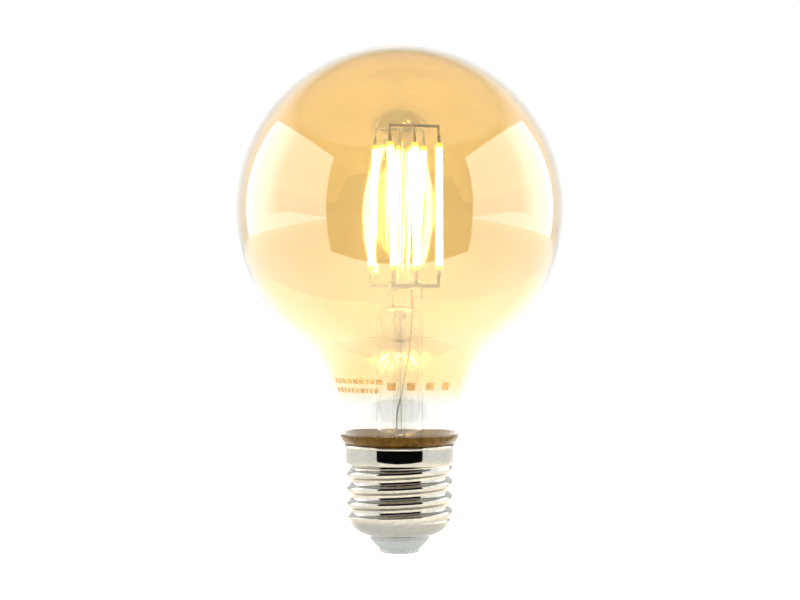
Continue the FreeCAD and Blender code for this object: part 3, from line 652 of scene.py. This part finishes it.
def make_screw_shell():
    """The nickel-plated shell with its right-hand rolled thread, as a closed sheet."""
    around = 192
    bm = bmesh.new()
    outer, inner = [], []
    for height, fixed in shell_rings():
        out_ring, in_ring = [], []
        for step in range(around):
            angle = 2 * math.pi * step / around
            radius = fixed or thread_radius(angle, height)
            inside = min(radius, COLLAR_RADIUS) - SHEET
            lift = SHEET * smooth_step(1 - (height - CAP_FOOT) / (3 * MM))
            cosine, sine = math.cos(angle), math.sin(angle)
            out_ring.append(bm.verts.new((radius * cosine, radius * sine, height)))
            in_ring.append(bm.verts.new((inside * cosine, inside * sine, height + lift)))
        outer.append(out_ring)
        inner.append(in_ring)
    for lower, upper in zip(outer, outer[1:]):
        join_rings(bm, lower, upper)
    for lower, upper in zip(inner, inner[1:]):
        join_rings(bm, lower, upper)
    join_rings(bm, outer[0], inner[0])
    join_rings(bm, outer[-1], inner[-1])
    mesh = mesh_from("screw_cap_shell", bm)
    mesh.set_sharp_from_angle(angle=math.radians(60))
    piece("screw_cap_shell", mesh, "cap_nickel", "screw_shell")


def swelling(start, stop, bulge, steps):
    """Points from start to stop that swell outwards by a bulge."""
    points = []
    for step in range(steps + 1):
        share = step / steps
        radius, height = between(start, stop, share)
        points.append((radius + bulge * math.sin(math.pi * share), height))
    return points


def make_cement():
    """The glossy cement ring between cap and glass, a little uneven along its upper edge."""
    rounding = (NECK_RADIUS - NECK_ROUNDING, NECK_LOW)
    top = cement_high[2]
    glass_x = rounding[0] + math.sqrt(NECK_ROUNDING ** 2 - (rounding[1] - top) ** 2)
    low = cement_low[2]
    bore = COLLAR_RADIUS - SHEET
    against_glass = SKIRT_RADIUS + CLEARANCE
    points = [(against_glass, low), (bore, low), (bore, RIM_HEIGHT)]
    points += swelling((bore + CEMENT_LIP, RIM_HEIGHT), (glass_x + 0.12 * MM, top), 0.25 * MM, 10)
    points += [(glass_x, top), (glass_x - 1.0 * MM, top - 1.5 * MM), (against_glass, CEMENT_SHOULDER)]
    mesh = lathe("cement_ring", points, 160, 50.0)
    for vertex in mesh.vertices:
        angle = math.atan2(vertex.co.y, vertex.co.x)
        if vertex.co.z > RIM_HEIGHT + 0.2 * MM:
            vertex.co.z += 0.10 * MM * math.sin(3 * angle + 0.7) + 0.05 * MM * math.sin(11 * angle)
    piece("cement_ring", mesh, "cement_brown", "basing_cement")


def make_insulator():
    """The moulded insulator: a gently swollen cone with softened corners."""
    low = insulator_low[2]
    top = insulator_high[2]
    contact = contact_high[0]
    corner = (INSULATOR_RADIUS - INSULATOR_CORNER, CAP_FOOT - 0.7 * MM)
    widest = (INSULATOR_RADIUS, corner[1])
    plug = CAP_HOLE - CLEARANCE
    under_cap = CAP_FOOT - CLEARANCE
    points = [(INSULATOR_BORE, low), (contact, low), (contact + 0.15 * MM, low + 0.05 * MM)]
    cone_foot = (contact + 0.2 * MM, low + 0.12 * MM)
    points += swelling(cone_foot, (7.05 * MM, CAP_FOOT - 1.1 * MM), 0.12 * MM, 8)
    points += arc(corner, INSULATOR_CORNER, (7.2 * MM, CAP_FOOT - 1.03 * MM), widest, 5)
    points += [(INSULATOR_RADIUS, under_cap), (plug, under_cap), (plug, top), (INSULATOR_BORE, top)]
    mesh = lathe("cap_insulator_body", points, 128, 40.0)
    piece("cap_insulator_body", mesh, "insulator_grey", "cap_insulator")


def make_contact():
    """The end contact: a stamped disc with a shallow groove round its solder spot, and its rivet."""
    disc = contact_high[0]
    top = contact_high[2]
    flat = disc - CONTACT_EDGE
    points = [(0.0, 0.0), (SOLDER_RADIUS, 0.0), (1.3 * MM, GROOVE_DEPTH), (1.6 * MM, GROOVE_DEPTH)]
    points += [(1.8 * MM, 0.0), (flat, 0.0)]
    points += arc((flat, CONTACT_EDGE), CONTACT_EDGE, (flat, 0.0), (disc, CONTACT_EDGE), 8)
    points += [(disc, CONTACT_BACK), (RIVET_RADIUS, CONTACT_BACK), (RIVET_RADIUS, top), (0.0, top)]
    mesh = lathe("end_contact", points, 96, 30.0)
    piece("end_contact", mesh, "contact_metal", "centre_contact")


# ---------------------------------------------------------------- filaments


def box_middle(node):
    """The middle of a CAD node's box."""
    low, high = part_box(node)
    return (Vector(low) + Vector(high)) / 2


def filament_profile():
    """The outline of one phosphor rod, gently swollen over each chip, with rounded ends."""
    steps = 120
    points = [(0.0, -FILAMENT_HALF)]
    for step in range(steps + 1):
        height = -FILAMENT_HALF + 2 * FILAMENT_HALF * step / steps
        end = min(1.0, (FILAMENT_HALF - abs(height)) / FILAMENT_TIP)
        rounded = math.sqrt(max(0.0, 1 - (1 - end) ** 2))
        ripple = 1 + 0.025 * math.cos(2 * math.pi * height / CHIP_PITCH)
        radius = FILAMENT_RADIUS * (0.45 + 0.55 * rounded) * ripple
        points.append((max(radius, 0.1 * MM), height))
    points.append((0.0, FILAMENT_HALF))
    return points


def make_filament_coating(number):
    """The phosphor rod of one filament, along the line through its two tabs."""
    foot = box_middle(f"filament_{number}_lower_tab")
    head = box_middle(f"filament_{number}_upper_tab")
    name = f"filament_{number}_phosphor"
    mesh = lathe(name, filament_profile(), 24, 60.0)
    turn = (head - foot).to_track_quat("Z", "Y").to_matrix().to_4x4()
    place = Matrix.Translation((foot + head) / 2) @ turn
    piece(name, mesh, "phosphor", f"filament_{number}_coating", place=place)


# ---------------------------------------------------------------- small details


def make_weld_bead(name, place):
    """A small welded knot on a lead wire."""
    bm = bmesh.new()
    bmesh.ops.create_icosphere(bm, subdivisions=3, radius=WELD_RADIUS)
    for vertex in bm.verts:
        vertex.co.z *= 1.35
        vertex.co *= 1 + 0.08 * math.sin(9000 * vertex.co.x + 5000 * vertex.co.z)
    bmesh.ops.translate(bm, verts=bm.verts, vec=place)
    piece(name, mesh_from(name, bm), "lead_wire")


def make_neck_marks():
    """A printed band of plain bars and blocks on the front of the neck, with no letters or signs."""
    rng = random.Random(5)
    bm = bmesh.new()
    profile = envelope_side(-MARK_LIFT)
    for middle in BAR_ROWS:
        angle = BAR_START
        while angle < BAR_STOP:
            wide = rng.uniform(2.0, 5.5)
            low, high = middle - BAR_HEIGHT / 2, middle + BAR_HEIGHT / 2
            add_patch(bm, profile, angle, angle + wide, low, high)
            angle += wide + 1.4
    for angle in BLOCK_ANGLES:
        add_patch(bm, profile, angle, angle + BLOCK_WIDTH, BLOCK_LOW, BLOCK_HIGH)
    piece("neck_marks", mesh_from("neck_marks", bm), "cement_brown", material=marking())


def glass_radius(profile, height):
    """The glass's radius at a height on the neck, from its outline."""
    for upper, lower in zip(profile, profile[1:]):
        if lower[1] <= height <= upper[1] and upper[1] > lower[1]:
            share = (height - lower[1]) / (upper[1] - lower[1])
            return between(lower, upper, share)[0]
    return NECK_RADIUS


def add_patch(bm, profile, start, stop, low, high):
    """A thin printed patch that follows the glass between two angles, in degrees, and two heights."""
    across, up = 4, 3
    grid = []
    for row in range(up + 1):
        height = low + (high - low) * row / up
        radius = glass_radius(profile, height)
        line = []
        for column in range(across + 1):
            angle = math.radians(start + (stop - start) * column / across)
            line.append(bm.verts.new((radius * math.cos(angle), radius * math.sin(angle), height)))
        grid.append(line)
    for lower, upper in zip(grid, grid[1:]):
        for column in range(across):
            bm.faces.new((lower[column], lower[column + 1], upper[column + 1], upper[column]))


def finish_cad_nodes():
    """Materials for the CAD nodes, by the record's slots, and softened edges on the brackets."""
    for entry in frame["record"]["subparts"]:
        node = frame["nodes"][entry["node"]]
        for slot in node.material_slots:
            slot.link = "OBJECT"
            slot.material = MATERIALS[entry["material_slot"]]
        if entry["node"].endswith("bracket"):
            edge = node.modifiers.new("soft_edges", "BEVEL")
            edge.width = 0.1 * MM
            edge.segments = 3
            edge.limit_method = "ANGLE"


# ---------------------------------------------------------------- studio


def add_softbox(name, aside):
    """A tall panel light at one side, which only reflections and lit surfaces show."""
    light = bpy.data.lights.new(name, "AREA")
    light.shape = "RECTANGLE"
    light.size = SOFTBOX_WIDTH
    light.size_y = SOFTBOX_HEIGHT
    light.energy = SOFTBOX_POWER
    softbox = add_object(name, light)
    softbox.location = (aside, SOFTBOX_BACK, SOFTBOX_MIDDLE)
    target = Vector((0.0, SOFTBOX_BACK, SOFTBOX_MIDDLE))
    softbox.rotation_euler = (target - softbox.location).to_track_quat("-Z", "Y").to_euler()
    softbox.visible_camera = False
    softbox.visible_transmission = False


def bounced_light(tree):
    """1 for light that bounces off a surface, 0 for what is seen directly or through glass."""
    path = tree.nodes.new("ShaderNodeLightPath")
    bounced = math_node(tree, "MAXIMUM", path.outputs["Is Glossy Ray"], path.outputs["Is Diffuse Ray"])
    return math_node(tree, "SUBTRACT", bounced, path.outputs["Is Transmission Ray"], clamp=True)


def make_world():
    """White where seen directly; surfaces reflect a dark side in front, a white back and a dim ceiling."""
    world = bpy.data.worlds.new("studio")
    bpy.context.scene.world = world
    world.use_nodes = True
    tree = world.node_tree
    background = tree.nodes["Background"]
    up = coordinate(tree, "Generated", "Z")
    behind = map_range(tree, coordinate(tree, "Generated", "Y"), 0.0, 0.35, DARK_SIDE, 1.0, smooth=True)
    below = map_range(tree, up, 0.45, 0.75, 1.0, DIM_BACK, smooth=True)
    walls = math_node(tree, "MULTIPLY", behind, below)
    ceiling = map_range(tree, up, 0.60, 0.68, 0.0, CEILING, smooth=True)
    room = math_node(tree, "MAXIMUM", walls, ceiling)
    mix = tree.nodes.new("ShaderNodeMix")
    mix.inputs["A"].default_value = BACKDROP
    tree.links.new(room, mix.inputs["B"])
    tree.links.new(bounced_light(tree), mix.inputs["Factor"])
    background.inputs["Color"].default_value = (1.0, 1.0, 1.0, 1.0)
    tree.links.new(mix.outputs["Result"], background.inputs["Strength"])


def white_floor():
    """White from above and clear from below."""
    material, tree, shader, output = new_material("white_floor")
    shader.inputs["Base Color"].default_value = (0.9, 0.9, 0.9, 1.0)
    shader.inputs["Roughness"].default_value = 0.9
    shader.inputs["Specular IOR Level"].default_value = 0.0
    shader.inputs["Emission Color"].default_value = (1.0, 1.0, 1.0, 1.0)
    glow = map_range(tree, bounced_light(tree), 0.0, 1.0, FLOOR_SEEN, FLOOR_BOUNCED)
    tree.links.new(glow, shader.inputs["Emission Strength"])
    side = tree.nodes.new("ShaderNodeNewGeometry")
    clear = tree.nodes.new("ShaderNodeBsdfTransparent")
    mix = tree.nodes.new("ShaderNodeMixShader")
    tree.links.new(side.outputs["Backfacing"], mix.inputs["Fac"])
    tree.links.new(shader.outputs["BSDF"], mix.inputs[1])
    tree.links.new(clear.outputs["BSDF"], mix.inputs[2])
    tree.links.new(mix.outputs["Shader"], output.inputs["Surface"])
    return material


def make_floor():
    """A plain floor under the end contact, cut away in front so that the front reflects dark."""
    bm = bmesh.new()
    bm.faces.new([bm.verts.new((x, y, 0.0)) for x, y in FLOOR_OUTLINE])
    floor = add_object("floor", mesh_from("floor", bm))
    floor.location.z = contact_low[2] - FLOOR_GAP
    floor.data.materials.append(white_floor())


def make_camera():
    """An almost level camera half a metre in front."""
    camera_data = bpy.data.cameras.new("camera")
    camera_data.lens = CAMERA_LENS
    camera_data.sensor_width = CAMERA_SENSOR
    camera = add_object("camera", camera_data)
    camera.location = CAMERA_PLACE
    line = Vector(CAMERA_TARGET) - camera.location
    camera.rotation_euler = line.to_track_quat("-Z", "Y").to_euler()
    bpy.context.scene.camera = camera


def make_studio():
    """Two side softboxes, a white world, the floor and the camera."""
    make_world()
    make_floor()
    add_softbox("left_softbox", -SOFTBOX_ASIDE)
    add_softbox("right_softbox", SOFTBOX_ASIDE)
    make_camera()
    bpy.context.scene.view_settings.view_transform = "Standard"


# ---------------------------------------------------------------- assembly

finish_cad_nodes()
make_envelope()
make_stem()
make_press()
make_screw_shell()
make_cement()
make_insulator()
make_contact()
for filament in FILAMENTS:
    make_filament_coating(filament)
make_weld_bead("front_weld_bead", FRONT_WELD)
make_weld_bead("back_weld_bead", BACK_WELD)
make_neck_marks()
make_studio()
